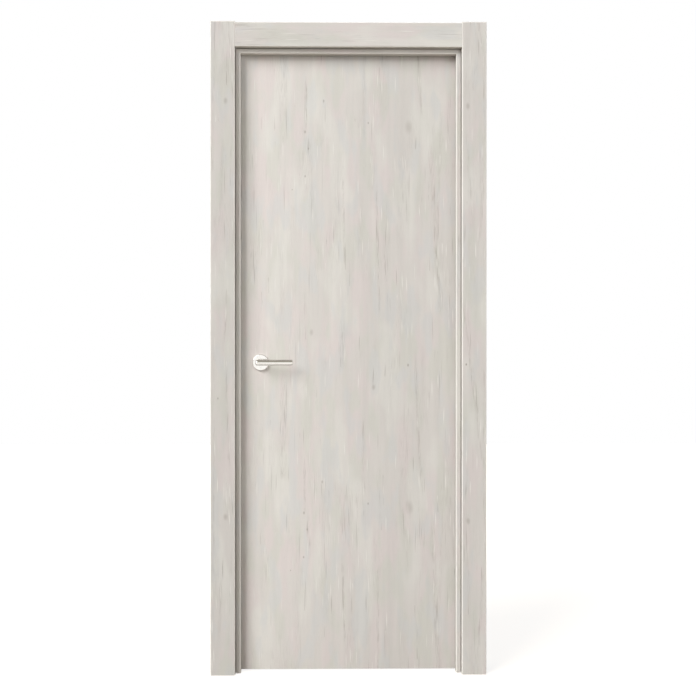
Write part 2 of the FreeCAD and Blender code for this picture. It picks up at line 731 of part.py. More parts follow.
REBATE_LATCH = inward("latch", "Sizes.jamb_back")
STRIKE_LOW = f"({FOREND_LOW} - Sizes.strike_margin)"
STRIKE_HIGH = f"({FOREND_LOW} + Sizes.forend_height + Sizes.strike_margin)"


def strike_outline(body):
    return rectangle(body, "YZ_Plane", FOREND_LOW_Y, FOREND_HIGH_Y, STRIKE_LOW, STRIKE_HIGH,
                     f"{REBATE_LATCH} - Sizes.strike_thickness")


def strike_recess(body):
    """Recess of the strike plate in the latch jamb, and the box bored behind its mouth."""
    cut_between(body, strike_outline(body), "Sizes.strike_thickness")
    box = bolt_outline(body, "Sizes.strike_mouth_extra", f"{REBATE_LATCH} - Sizes.strike_box_depth")
    cut_between(body, box, "Sizes.strike_box_depth")


def strike_plate():
    body = new_body("strike_plate")
    pad(body, strike_outline(body), "Sizes.strike_thickness")
    cut_through(body, bolt_outline(body, "Sizes.strike_mouth_extra", REBATE_LATCH))
    plate_screws(body, STRIKE_LOW, STRIKE_HIGH, 1)
    return body


# Handles: round levers on round rosettes, one spindle through the latch
def rosette(label, face, outward):
    """A flat round rosette with a softened rim, bored for the lever's neck."""
    body = new_body(label)
    front = face if outward > 0 else f"({face} - Sizes.rosette_depth)"
    back = f"({face} + Sizes.rosette_depth)" if outward > 0 else face
    disc = circle(body, "XZ_Plane", HANDLE_X, "Sizes.handle_height", "Sizes.rosette_radius", f"-{back}")
    pad(body, disc, f"{back} - {front}")
    box = body.Shape.BoundBox
    outer = box.YMax if outward > 0 else box.YMin
    rims = [f"Edge{number}" for number, edge in enumerate(body.Shape.Edges, start=1)
            if edge.Closed and near(edge.BoundBox.YMin, outer) and near(edge.BoundBox.YMax, outer)]
    round_edges(body, rims, "Sizes.rosette_rim")
    bore = circle(body, "XZ_Plane", HANDLE_X, "Sizes.handle_height",
                  "Sizes.lever_neck_radius + Sizes.lever_clearance")
    cut_through(body, bore)


def lever(label, face, outward):
    """A round grip that points at the hinges, carried near its other end by a neck in the rosette."""
    body = new_body(label)
    neck = circle(body, "XZ_Plane", "0", "0", "Sizes.lever_neck_radius")
    pad(body, neck, "Sizes.lever_projection")
    grip = circle(body, "YZ_Plane", "-Sizes.lever_projection", "0", "Sizes.lever_radius",
                  "-Sizes.lever_overhang")
    pad(body, grip, "Sizes.lever_reach + Sizes.lever_overhang")
    for end in (size("lever_reach"), -size("lever_overhang")):
        rims = [f"Edge{number}" for number, edge in enumerate(body.Shape.Edges, start=1)
                if edge.Closed and near(edge.BoundBox.XMin, end) and near(edge.BoundBox.XMax, end)]
        round_edges(body, rims, "Sizes.lever_end_round")

    half = "(Sizes.spindle_side / 2 + Sizes.spindle_clearance)"
    cut_between(body, rectangle(body, "XZ_Plane", f"-{half}", half, f"-{half}", half), "Sizes.spindle_entry")
    if outward > 0:
        body.Placement = FreeCAD.Placement(Vector(0, 0, 0), FreeCAD.Rotation(Vector(1, 0, 0), 180))
    place(body, HANDLE_X, face, "Sizes.handle_height")


def spindle_and_follower():
    spindle = new_body("spindle")
    half = "Sizes.spindle_side / 2"
    end = "(Sizes.leaf_thickness / 2 + Sizes.spindle_entry - Sizes.spindle_clearance)"
    bar = rectangle(spindle, "XZ_Plane", f"-{half}", half, f"-{half}", half, f"-{end}")
    pad(spindle, bar, f"2 * {end}")
    place(spindle, HANDLE_X, LEAF_MIDDLE, "Sizes.handle_height")

    follower = new_body("latch_follower")
    disc = circle(follower, "XZ_Plane", "0", "0", "Sizes.follower_radius", "-Sizes.latch_radius")
    pad(follower, disc, "2 * Sizes.latch_radius")
    hole = "(Sizes.spindle_side / 2 + Sizes.spindle_clearance)"
    cut_through(follower, rectangle(follower, "XZ_Plane", f"-{hole}", hole, f"-{hole}", hole))
    place(follower, HANDLE_X, LEAF_MIDDLE, "Sizes.handle_height")


def build():
    jambs = {side: jamb_side(side) for side in ("hinge", "latch")}
    jamb_head()
    hinge_recess(jambs["hinge"], "frame")
    strike_recess(jambs["latch"])
    strike_plate()
    seal("seal_hinge_side", lambda outer, inner: side_strip("hinge", outer, inner))
    seal("seal_latch_side", lambda outer, inner: side_strip("latch", outer, inner))
    seal("seal_head", head_strip)
    for hand, side in (("left", "latch"), ("right", "hinge")):
        casing_front_side(f"casing_front_{hand}", side)
        casing_rear_side(f"casing_rear_{hand}", side)
    casing_front_head()
    casing_rear_head()

    skin("skin_front", LEAF_FRONT, CORE_FRONT)
    hinge_recess(skin("skin_rear", CORE_BACK, LEAF_BACK), "leaf")
    leaf_frame()
    core_lattice()
    latch()

    for name, height in HINGE_FEET.items():
        hinge_leaf(f"hinge_frame_leaf_{name}", "frame", 0, height)
        hinge_leaf(f"hinge_door_leaf_{name}", "door", 1, height)
        hinge_pin(f"hinge_pin_{name}", height)

    for name, face, outward in (("front", LEAF_FRONT, -1), ("rear", LEAF_BACK, 1)):
        rosette(f"rosette_{name}", face, outward)
        lever(f"lever_{name}", face, outward)
    spindle_and_follower()


def sub_parts():
    features = [item for item in doc.Objects if item.TypeId == "PartDesign::Body"]
    return features + [item for item in doc.Objects if item.TypeId == "Part::Feature"]


def check_document():
    for item in doc.Objects:
        if "Invalid" in item.State or "Error" in item.State:
            raise RuntimeError(f"{item.Label} failed: {item.State}")
    for item in sub_parts():
        if item.Shape.isNull() or not item.Shape.isValid():
            raise RuntimeError(f"{item.Label} has no valid shape")


build()
doc.recompute()
check_document()
os.makedirs("parts", exist_ok=True)
for item in sub_parts():
    item.Shape.exportStep(f"parts/{item.Label}.step")
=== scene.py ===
"""Looks of the flush hollow core door: pale oak foil, satin steel, polished handles, studio light."""
import math

import bmesh
import bpy
from mathutils import Matrix, Vector


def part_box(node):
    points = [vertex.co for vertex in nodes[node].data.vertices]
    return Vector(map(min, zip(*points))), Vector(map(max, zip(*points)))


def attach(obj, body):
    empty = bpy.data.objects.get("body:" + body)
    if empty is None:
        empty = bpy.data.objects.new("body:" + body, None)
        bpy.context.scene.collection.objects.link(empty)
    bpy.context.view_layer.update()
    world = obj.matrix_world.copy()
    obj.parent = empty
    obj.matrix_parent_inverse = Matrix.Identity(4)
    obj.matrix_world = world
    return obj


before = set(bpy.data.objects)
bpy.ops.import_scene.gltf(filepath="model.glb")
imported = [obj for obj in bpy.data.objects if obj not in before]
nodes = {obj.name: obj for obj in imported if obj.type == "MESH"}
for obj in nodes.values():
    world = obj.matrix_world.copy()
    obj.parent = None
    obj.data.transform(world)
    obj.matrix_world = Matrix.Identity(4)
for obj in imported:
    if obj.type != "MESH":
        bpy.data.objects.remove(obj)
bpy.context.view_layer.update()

# Places read from the frame, in metres
SKIN_LOW, SKIN_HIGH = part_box("skin_front")
CASING_LEFT_LOW, CASING_LEFT_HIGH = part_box("casing_front_left")
CASING_RIGHT_LOW, CASING_RIGHT_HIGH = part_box("casing_front_right")
CASING_HEAD_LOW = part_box("casing_front_head")[0]
JAMB_LEFT_LOW, JAMB_LEFT_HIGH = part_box("jamb_latch_side")
JAMB_RIGHT_LOW, JAMB_RIGHT_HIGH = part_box("jamb_hinge_side")
JAMB_HEAD_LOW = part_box("jamb_head")[0]
DOOR_MIDDLE_X = (CASING_LEFT_LOW.x + CASING_RIGHT_HIGH.x) / 2
FRONT_Y = CASING_LEFT_LOW.y
REVEAL_LEFT_X = JAMB_LEFT_HIGH.x
JAMB_WIDTH = JAMB_RIGHT_HIGH.x - JAMB_RIGHT_LOW.x


def srgb(red, green, blue):
    """A colour as it looks on screen, 0 to 255, as the linear values that shaders take."""
    def linear(value):
        value /= 255
        return value / 12.92 if value <= 0.04045 else ((value + 0.055) / 1.055) ** 2.4
    return (linear(red), linear(green), linear(blue), 1.0)


class Graph:
    """Adds shader nodes one by one; each method returns the socket that carries its result."""

    def __init__(self, tree):
        self.tree = tree
        tree.nodes.clear()

    def node(self, kind, inputs=(), **settings):
        """A node with its settings made first, because a group's inputs come with its tree."""
        node = self.tree.nodes.new(kind)
        for name, value in settings.items():
            setattr(node, name, value)
        for name, value in dict(inputs).items():
            self.feed(node.inputs[name], value)
        return node

    def feed(self, socket, value):
        if isinstance(value, bpy.types.NodeSocket):
            self.tree.links.new(value, socket)
        else:
            socket.default_value = value

    def math(self, operation, first, second=0.0, third=0.0):
        inputs = {0: first, 1: second, 2: third}
        return self.node("ShaderNodeMath", inputs, operation=operation).outputs[0]

    def add(self, first, *others):
        for other in others:
            first = self.math("ADD", first, other)
        return first

    def subtract(self, first, second):
        return self.math("SUBTRACT", first, second)

    def times(self, first, *others):
        for other in others:
            first = self.math("MULTIPLY", first, other)
        return first

    def blend_up(self, value, low, high, to_low=0.0, to_high=1.0):
        """A smooth step: to_low below low, to_high above high."""
        inputs = {"Value": value, "From Min": low, "From Max": high, "To Min": to_low, "To Max": to_high}
        return self.node("ShaderNodeMapRange", inputs, interpolation_type="SMOOTHSTEP").outputs["Result"]

    def place(self):
        """The point on the piece that is shaded, in metres."""
        return self.node("ShaderNodeTexCoord").outputs["Object"]

    def vector(self, x=0.0, y=0.0, z=0.0):
        return self.node("ShaderNodeCombineXYZ", {"X": x, "Y": y, "Z": z}).outputs[0]

    def split(self, vector):
        return self.node("ShaderNodeSeparateXYZ", {0: vector}).outputs

    def noise(self, vector, scale=1.0, detail=2.0, roughness=0.5, dimensions="3D"):
        inputs = {"Vector": vector, "Scale": scale, "Detail": detail, "Roughness": roughness}
        return self.node("ShaderNodeTexNoise", inputs, noise_dimensions=dimensions).outputs["Fac"]

    def lines(self, place, per_x, per_y, per_z):
        """Noise drawn out into fine lines, with how often it changes in a metre of each axis."""
        x, y, z = self.split(place)
        scaled = self.vector(self.times(x, per_x), self.times(y, per_y), self.times(z, per_z))
        return self.noise(scaled, 1.0, 2.0)

    def cells(self, vector):
        """Distance to the nearest of points scattered over a plane, and that point's random colour."""
        inputs = {"Vector": vector, "Scale": 1.0}
        outputs = self.node("ShaderNodeTexVoronoi", inputs, voronoi_dimensions="2D").outputs
        return outputs["Distance"], outputs["Color"]

    def mix(self, factor, first, second, blend="MIX"):
        node = self.node("ShaderNodeMix", data_type="RGBA", blend_type=blend)
        for name, value in (("Factor_Float", factor), ("A_Color", first), ("B_Color", second)):
            socket = next(s for s in node.inputs if s.identifier == name)
            self.feed(socket, value)
        return next(s for s in node.outputs if s.identifier == "Result_Color")

    def ramp(self, value, stops):
        """A colour ramp through (place, colour) stops."""
        node = self.node("ShaderNodeValToRGB", {"Fac": value})
        points = node.color_ramp.elements
        points[0].position, points[0].color = stops[0]
        points[1].position, points[1].color = stops[-1]
        for place, colour in stops[1:-1]:
            points.new(place).color = colour
        return node.outputs["Color"]

    def bump(self, height, distance, strength):
        inputs = {"Height": height, "Distance": distance, "Strength": strength}
        return self.node("ShaderNodeBump", inputs).outputs[0]

    def surface(self, **inputs):
        """Ends the graph with a Principled shader; names use underscores for spaces."""
        values = {name.replace("_", " "): value for name, value in inputs.items()}
        shader = self.node("ShaderNodeBsdfPrincipled", values)
        self.node("ShaderNodeOutputMaterial", {"Surface": shader.outputs[0]})


def new_material(name):
    material = bpy.data.materials.new(name)
    material.use_nodes = True
    return material, Graph(material.node_tree)


# Wood decor: a printed oak pattern for each kind of board, described by its veins and knots

class Decor:
    """What one printed board shows: its tones across its width, which on some boards are painted light
    and shade, and the veins and knots that come back every repeat.
    """

    def __init__(self, repeat, veins, knots, tones, seed):
        self.repeat = repeat
        self.veins = veins
        self.knots = knots
        self.tones = tones
        self.seed = seed


# Colours of the print, of the highlight painted on its arrises and of the bare board
CREAM = srgb(221, 218, 211)
BASE = srgb(214, 209, 203)
PINK = srgb(217, 208, 204)
GREENISH = srgb(210, 208, 199)
COOL = srgb(209, 208, 205)
FLECK = srgb(234, 231, 225)
WARM_DARK = srgb(150, 138, 124)
PORE = srgb(128, 115, 102)
ARRIS_PAINTED_HIGHLIGHT = srgb(250, 247, 240)
FIBREBOARD = srgb(168, 142, 112)
FIBREBOARD_DARK = srgb(140, 114, 86)

# Length of print after which it comes back, in metres
LEAF_REPEAT = 1.255
CASING_REPEAT = 1.35

# Each vein: place across, middle along, half length, lean, half width, strength
LEAF_VEINS = [
    (0.135, 0.80, 0.20, 0.01, 0.022, 0.55),
    (0.208, 0.61, 0.11, 0.00, 0.006, 1.00),
    (0.222, 0.44, 0.09, -0.02, 0.010, 0.55),
    (0.246, 0.91, 0.05, 0.00, 0.006, 0.60),
    (0.268, 0.60, 0.04, 0.00, 0.008, 0.55),
    (0.335, 0.22, 0.17, -0.03, 0.006, 1.00),
    (0.328, 1.07, 0.10, 0.00, 0.016, 0.60),
    (0.385, 0.56, 0.04, 0.00, 0.022, 0.55),
    (0.405, 0.66, 0.20, 0.00, 0.010, 0.50),
    (0.450, 0.13, 0.24, -0.01, 0.006, 0.90),
    (0.474, 0.10, 0.08, 0.00, 0.005, 0.90),
    (0.446, 0.96, 0.06, 0.00, 0.008, 0.45),
    (0.546, 0.40, 0.09, 0.00, 0.005, 0.45),
    (0.582, 0.81, 0.25, -0.06, 0.008, 0.95),
    (0.642, 0.20, 0.30, -0.05, 0.014, 0.80),
    (0.655, 0.36, 0.26, 0.03, 0.008, 0.60),
    (0.686, 0.55, 0.12, 0.02, 0.008, 0.50),
    (0.069, 0.20, 0.03, 0.00, 0.003, 1.00),
    (0.126, 0.02, 0.15, 0.00, 0.012, 0.35),
]
# Each knot: place across, place along, radius, strength
LEAF_KNOTS = [
    (0.555, 0.537, 0.015, 0.22),
    (0.205, 0.520, 0.004, 0.45),
    (0.435, 0.934, 0.007, 0.30),
    (0.546, 1.007, 0.004, 0.50),
    (0.266, 0.622, 0.004, 0.35),
    (0.419, 0.550, 0.003, 0.50),
    (0.205, 0.374, 0.003, 0.50),
    (0.216, 0.465, 0.003, 0.40),
    (0.163, 0.330, 0.002, 0.50),
    (0.227, 1.115, 0.008, 0.22),
]
# Painted light and shade across the leaf: lighter towards its left, darker towards its right
LEAF_TONES_PAINTED_SHADING = [(0.0, 1.10), (0.30, 1.06), (0.52, 1.0), (0.64, 0.965), (0.85, 0.945), (1.0, 0.935)]
LEAF = Decor(LEAF_REPEAT, LEAF_VEINS, LEAF_KNOTS, LEAF_TONES_PAINTED_SHADING, 0.0)

SIDE_VEINS = [
    (0.012, 0.55, 0.30, 0.02, 0.006, 0.50),
    (0.034, 0.25, 0.16, 0.05, 0.008, 0.60),
    (0.058, 0.85, 0.20, -0.04, 0.007, 0.60),
    (0.066, 0.30, 0.14, 0.03, 0.005, 0.50),
    (0.045, 1.15, 0.12, 0.05, 0.006, 0.70),
]
SIDE_KNOTS = [(0.050, 0.515, 0.008, 0.30), (0.028, 0.90, 0.003, 0.50)]
RIGHT_VEINS = [
    (0.030, 0.98, 0.26, -0.10, 0.006, 0.95),
    (0.048, 0.84, 0.18, -0.09, 0.005, 0.70),
    (0.070, 0.55, 0.20, -0.03, 0.006, 0.60),
    (0.062, 0.20, 0.18, 0.05, 0.008, 0.60),
    (0.020, 0.30, 0.14, -0.05, 0.007, 0.55),
    (0.012, 0.62, 0.10, 0.02, 0.005, 0.55),
]
RIGHT_KNOTS = [(0.018, 0.500, 0.008, 0.30), (0.014, 1.010, 0.003, 0.80)]
HEAD_VEINS = [
    (0.030, 0.33, 0.13, 0.02, 0.006, 0.75),
    (0.056, 0.42, 0.09, -0.02, 0.005, 0.65),
    (0.014, 0.55, 0.12, 0.03, 0.006, 0.55),
    (0.062, 0.62, 0.10, 0.04, 0.006, 0.75),
    (0.040, 0.10, 0.08, 0.00, 0.006, 0.45),
]
EVEN_TONES = [(0.0, 0.95), (0.5, 0.94), (1.0, 0.95)]
SIDE_LEFT = Decor(CASING_REPEAT, SIDE_VEINS, SIDE_KNOTS, EVEN_TONES, 3.0)
SIDE_RIGHT = Decor(CASING_REPEAT, RIGHT_VEINS, RIGHT_KNOTS, EVEN_TONES, 7.0)
HEAD_BOARD = Decor(CASING_REPEAT, HEAD_VEINS, [], [(0.0, 1.0), (1.0, 1.0)], 11.0)
NARROW = Decor(CASING_REPEAT, SIDE_VEINS[:3], [], [(0.0, 1.0), (1.0, 1.0)], 17.0)
# The same print made lighter: painted light on the latch and head jambs, which lie in the casings' shade
NARROW_PAINTED_LIGHT = Decor(CASING_REPEAT, SIDE_VEINS[:3], [], [(0.0, 1.08), (1.0, 1.08)], 17.0)


# A vein fades over its last VEIN_END metres. A knot is longer along the grain than across it. It
# pushes the grain aside by a share of its radius, within a few radii and further along the grain.
VEIN_END = 0.06
KNOT_NARROWING = 0.6
KNOT_PUSH = 0.45
PUSH_REACH = 5.0
PUSH_ALONG = 0.2

# What a mark's group is given: the point and the repeat, and then a row of the tables above
POINT_INPUTS = ("Across", "Along", "Repeat")
VEIN_INPUTS = ("Place", "Middle", "Half Length", "Lean", "Half Width", "Strength")
KNOT_INPUTS = ("Place", "Middle", "Radius", "Strength")


def new_group(name, inputs, outputs):
    """A node group of plain numbers: its tree, its graph and what it is given."""
    tree = bpy.data.node_groups.new(name, "ShaderNodeTree")
    for sockets, direction in ((inputs, "INPUT"), (outputs, "OUTPUT")):
        for socket in sockets:
            tree.interface.new_socket(socket, in_out=direction, socket_type="NodeSocketFloat")
    g = Graph(tree)
    return tree, g, g.node("NodeGroupInput").outputs


def from_middle(g, given):
    """How far along the grain a point is from the middle of the nearest repeat of a mark."""
    half_repeat = g.times(given["Repeat"], 0.5)
    along = g.subtract(given["Along"], given["Middle"])
    return g.math("WRAP", along, half_repeat, g.times(half_repeat, -1.0))


def vein_group():
    """How strongly one vein shows at a point: a soft band that leans and fades at its ends."""
    tree, g, given = new_group("vein", POINT_INPUTS + VEIN_INPUTS, ["Amount"])
    dz = from_middle(g, given)
    line = g.math("MULTIPLY_ADD", dz, given["Lean"], given["Place"])
    off_line = g.math("ABSOLUTE", g.subtract(given["Across"], line))
    band = g.blend_up(g.math("DIVIDE", off_line, given["Half Width"]), 0.1, 1.0, 1.0, 0.0)
    past_end = g.subtract(g.math("ABSOLUTE", dz), given["Half Length"])
    length = g.blend_up(past_end, -VEIN_END, 0.0, 1.0, 0.0)
    g.node("NodeGroupOutput", {0: g.times(band, length, given["Strength"])})
    return tree


def knot_group():
    """Two values for one knot: how dark its heart is, and how far the grain is pushed aside."""
    tree, g, given = new_group("knot", POINT_INPUTS + KNOT_INPUTS, ["Dark", "Push"])
    x = g.math("DIVIDE", g.subtract(given["Across"], given["Place"]), given["Radius"])
    z = g.math("DIVIDE", g.times(from_middle(g, given), KNOT_NARROWING), given["Radius"])
    far = g.math("SQRT", g.add(g.times(x, x), g.times(z, z)))
    dark = g.times(g.blend_up(far, 0.15, 1.15, 1.0, 0.0), given["Strength"])
    drawn_out = g.math("SQRT", g.add(g.times(x, x), g.times(z, z, PUSH_ALONG)))
    near = g.blend_up(drawn_out, 0.0, PUSH_REACH, 1.0, 0.0)
    push = g.times(g.times(near, near), g.times(x, g.times(given["Radius"], -KNOT_PUSH)))
    g.node("NodeGroupOutput", {0: dark, 1: push})
    return tree


VEIN_GROUP = vein_group()
KNOT_GROUP = knot_group()


def placed_marks(g, group, names, rows, across, along, repeat):
    """One group node for each vein or knot."""
    for row in rows:
        inputs = {"Across": across, "Along": along, "Repeat": repeat, **dict(zip(names, row))}
        yield g.node("ShaderNodeGroup", inputs, node_tree=group)


# Each layer of each board's print takes its noise from a place of its own, so far from the next
LAYER_SHIFT = 17.3

# How the grain wanders: changes in a metre across and along, layer, metres from side to side
WANDER = ((2.5, 1.1, 0.0, 0.022), (12, 7, 1.0, 0.0045))

# Noise along the grain: changes in a metre across and along, layer, roughness
BROAD = (24, 1.6, 10.1, 0.5)
PATCHES = (22, 3.5, 3.1, 0.5)
STREAKS = (95, 4.0, 11.1, 0.6)
PORES = (620, 22, 0.3, 0.6)
FINE = (1500, 45, 5.3, 0.6)

# Dashes along the grain: cells in a metre across and along, layer; the share of the cells that
# hold one, what a vein adds to it and what it is anywhere; how far a dash reaches in its cell
STROKES = (165, 6.5, 1.3, 0.55, 0.008, 0.27)
THREADS = (230, 4.5, 2.3, 0.45, 0.010, 0.30)
FLECKS = (150, 9.0, 4.3, 0.60, 0.080, 0.32)

# Broad tints: changes in a metre across and along, layer, roughness; start, end, most; colour
TINTS = (
    ((13, 4.5, 6.1, 0.5), (0.44, 0.64, 0.85), PINK),
    ((16, 5.5, 7.1, 0.5), (0.48, 0.66, 0.80), GREENISH),
    ((11, 3.5, 8.1, 0.5), (0.50, 0.68, 0.70), CREAM),
    ((18, 6.0, 9.1, 0.5), (0.52, 0.68, 0.60), COOL),
)

# How strong patches are beside veins, and how much the tone varies over the board
PATCH_STRENGTH = 0.30
BROAD_TONE = 0.10
STREAK_TONE = 0.07

# The most that a ramp of tones can hold, and the depth of the foil's relief in metres
TONE_RANGE = 2.0
FOIL_RELIEF = 0.00006


def decor_material(name, decor, width, grain="z", start=0.0, fold_from=0.0, fold=1.0,
                   raw=(0, 0, 0), ends=1.0):
    """Printed oak foil. The print runs over a board's arrises: fold is the side it wraps towards.

    start and fold_from are where the print begins, across the board and through its depth. A face
    that looks along raw shows the bare fibreboard, and so do a board's sawn ends where ends is 1.
    """
    material, g = new_material(name)
    coordinates = g.node("ShaderNodeTexCoord")
    x, y, z = g.split(coordinates.outputs["Object"])
    along, side = (z, x) if grain == "z" else (x, z)
    wrapped = g.times(g.subtract(y, fold_from), fold)
    across = g.add(g.subtract(side, start), wrapped)

    def stretched(line, across_scale, along_scale, layer):
        """A place on the print, stretched along the grain."""
        shift = LAYER_SHIFT * (decor.seed + layer)
        return g.vector(g.math("MULTIPLY_ADD", line, across_scale, shift),
                        g.math("MULTIPLY_ADD", along, along_scale, shift))

    def centred(noise, amount):
        """Noise as much below zero as above it, amount from its lowest to its highest."""
        return g.times(g.subtract(noise, 0.5), amount)

    # The grain wanders slowly, the same for all that is drawn along it, and goes round the knots
    drifts = [centred(g.noise(stretched(across, *scales), 1.0, 1.0, dimensions="2D"), reach)
              for *scales, reach in WANDER]
    flow = g.add(across, g.add(*drifts))
    knots = list(placed_marks(g, KNOT_GROUP, KNOT_INPUTS, decor.knots, flow, along, decor.repeat))
    for knot in knots:
        flow = g.add(flow, knot.outputs["Push"])

    def grain_noise(across_scale, along_scale, layer, roughness):
        return g.noise(stretched(flow, across_scale, along_scale, layer), 1.0, 2.0, roughness, "2D")

    # Where marks gather: on the veins, and thinly in wandering patches
    amount = None
    for vein in placed_marks(g, VEIN_GROUP, VEIN_INPUTS, decor.veins, flow, along, decor.repeat):
        amount = vein.outputs[0] if amount is None else g.math("MAXIMUM", amount, vein.outputs[0])
    patches = g.blend_up(grain_noise(*PATCHES), 0.46, 0.70)
    gathered = g.math("MAXIMUM", amount, g.times(patches, PATCH_STRENGTH))

    def dashes(across_scale, along_scale, layer, share_on_vein, share_anywhere, reach):
        """Pointed strokes along the grain, each as dark as its cell's luck."""
        far, chance = g.cells(stretched(flow, across_scale, along_scale, layer))
        luck = g.split(chance)
        share = g.math("MULTIPLY_ADD", gathered, share_on_vein, share_anywhere)
        present = g.math("LESS_THAN", luck[0], share)
        stroke = g.blend_up(far, 0.06, reach, 1.0, 0.0)
        return g.times(stroke, present, g.blend_up(luck[1], 0.0, 1.0, 0.35, 1.0))

    # Pores and the fine grain are specks; strokes, threads and pale flecks show from afar
    pores = g.times(g.blend_up(grain_noise(*PORES), 0.50, 0.66), gathered)
    fine = g.blend_up(grain_noise(*FINE), 0.52, 0.70)
    streak = grain_noise(*STREAKS)

    # Ground: broad tints, streaks and the tone across the board's width, which on the leaf and on two
    # jambs is painted light and shade
    colour = BASE
    for noise, (low, high, most), tint in TINTS:
        colour = g.mix(g.blend_up(grain_noise(*noise), low, high, 0.0, most), colour, tint)
    uneven = g.add(centred(grain_noise(*BROAD), BROAD_TONE), centred(streak, STREAK_TONE))
    stops = [(place, (level / TONE_RANGE,) * 3 + (1.0,)) for place, level in decor.tones]
    ramp = g.ramp(g.math("DIVIDE", across, width), stops)
    board = g.times(g.node("ShaderNodeSeparateColor", {0: ramp}).outputs[0], TONE_RANGE)
    tone = g.times(g.add(uneven, 1.0), board)
    grey = g.node("ShaderNodeCombineColor", {0: tone, 1: tone, 2: tone}).outputs[0]
    colour = g.mix(1.0, colour, grey, "MULTIPLY")

    # Marks, each layer over the one before, with how much of it shows
    for marks, shown, ink in (
            (dashes(*FLECKS), 0.75, FLECK),
            (gathered, 0.05, WARM_DARK),
            (fine, 0.07, WARM_DARK),
            (dashes(*THREADS), 0.42, PORE),
            (dashes(*STROKES), 0.44, PORE),
            (pores, 0.38, PORE)):
        colour = g.mix(g.times(marks, shown), colour, ink)
    for knot in knots:
        colour = g.mix(knot.outputs["Dark"], colour, PORE)

    # A highlight painted along the arrises, where the surface faces between two axes
    normal = g.split(coordinates.outputs["Normal"])
    sizes = [g.math("ABSOLUTE", part) for part in normal]
    turned = g.add(g.times(sizes[0], sizes[1]), g.times(sizes[1], sizes[2]), g.times(sizes[0], sizes[2]))
    arris_painted_highlight = g.blend_up(turned, 0.10, 0.34)
    colour = g.mix(g.times(arris_painted_highlight, 0.95), colour, ARRIS_PAINTED_HIGHLIGHT)

    # Bare board on sawn ends and hidden backs
    sawn = g.times(sizes[2 if grain == "z" else 0], ends)
    facing = g.add(*(g.times(part, direction) for part, direction in zip(normal, raw)))
    bare = g.blend_up(g.math("MAXIMUM", sawn, facing), 0.75, 0.9)
    fibres = g.noise(g.place(), 900.0, 3.0, 0.7)
    colour = g.mix(bare, colour, g.mix(fibres, FIBREBOARD, FIBREBOARD_DARK))

    relief = g.add(g.times(pores, -1.0), g.times(fine, -0.35), g.times(streak, 0.5))
    roughness = g.add(g.blend_up(streak, 0.3, 0.7, 0.42, 0.50), g.times(pores, 0.14), g.times(bare, 0.3))
    g.surface(Base_Color=colour, Roughness=roughness, Normal=g.bump(relief, FOIL_RELIEF, 0.8))
    return material


# Metals, seal and core
HINGE_STEEL = srgb(196, 194, 190)
LATCH_STEEL = srgb(190, 188, 184)
SCREW_STEEL = srgb(204, 202, 198)
SET_SCREW_STEEL = srgb(150, 148, 146)
STEEL_FILM = srgb(140, 138, 134)
PLATED = srgb(232, 230, 226)
PLATED_FILM = srgb(206, 202, 194)
RUBBER = srgb(96, 88, 80)
RUBBER_DUSTY = srgb(118, 110, 101)
KRAFT = srgb(186, 154, 112)
KRAFT_DARK = srgb(150, 118, 80)


def brushed_steel(name, colour, roughness=0.3):
    """Satin steel with fine upright lines and a dull film in patches."""
    material, g = new_material(name)
    place = g.place()
    lines = g.lines(place, 2500, 2500, 30)
    film = g.noise(place, 55.0, 3.0)
    shade = g.mix(g.blend_up(film, 0.4, 0.7, 0.0, 0.25), colour, STEEL_FILM)
    rough = g.add(g.blend_up(film, 0.35, 0.65, roughness, roughness + 0.1), g.times(lines, 0.08))
    g.surface(Base_Color=shade, Metallic=1.0, Roughness=rough, Normal=g.bump(lines, 0.00002, 0.4))
    return material


def polished_metal():
    """Bright plated handles, with faint wiping marks in the polish."""
    material, g = new_material("handle_plated")
    place = g.place()
    wipes = g.lines(place, 40, 900, 900)
    film = g.noise(place, 70.0, 3.0)
    shade = g.mix(g.blend_up(film, 0.45, 0.7, 0.0, 0.2), PLATED, PLATED_FILM)
    rough = g.add(g.blend_up(film, 0.4, 0.7, 0.10, 0.17), g.times(wipes, 0.05))
    g.surface(Base_Color=shade, Metallic=1.0, Roughness=rough, Normal=g.bump(wipes, 0.000008, 0.3))
    return material


def soft_seal():
    material, g = new_material("seal_rubber")
    dust = g.noise(g.place(), 240.0, 3.0)
    shade = g.mix(g.blend_up(dust, 0.4, 0.7), RUBBER, RUBBER_DUSTY)
    g.surface(Base_Color=shade, Roughness=g.blend_up(dust, 0.3, 0.7, 0.6, 0.8),
              Normal=g.bump(dust, 0.0001, 0.5))
    return material


def core_paper():
    material, g = new_material("core_kraft_paper")
    fibre = g.noise(g.place(), 700.0, 4.0, 0.7)
    g.surface(Base_Color=g.mix(fibre, KRAFT, KRAFT_DARK),
              Roughness=g.blend_up(fibre, 0.3, 0.7, 0.8, 0.95),
              Normal=g.bump(fibre, 0.0002, 0.6))
    return material


def assign(material, *names):
    for name in names:
        data = nodes[name].data
        data.materials.clear()
        data.materials.append(material)


def dress_leaf():
    leaf = {"decor": LEAF, "width": SKIN_HIGH.x - REVEAL_LEFT_X, "fold_from": SKIN_LOW.y}
    assign(decor_material("decor_leaf_front", start=REVEAL_LEFT_X, **leaf), "skin_front")
    assign(decor_material("decor_leaf_rear", start=SKIN_LOW.x, fold=-1.0, **leaf), "skin_rear")
    edge = decor_material("decor_leaf_edge", NARROW, JAMB_WIDTH, start=SKIN_LOW.x)
    assign(edge, "stile_hinge", "stile_latch", "lock_block", "rail_top", "rail_bottom")
    assign(core_paper(), "core_lattice")


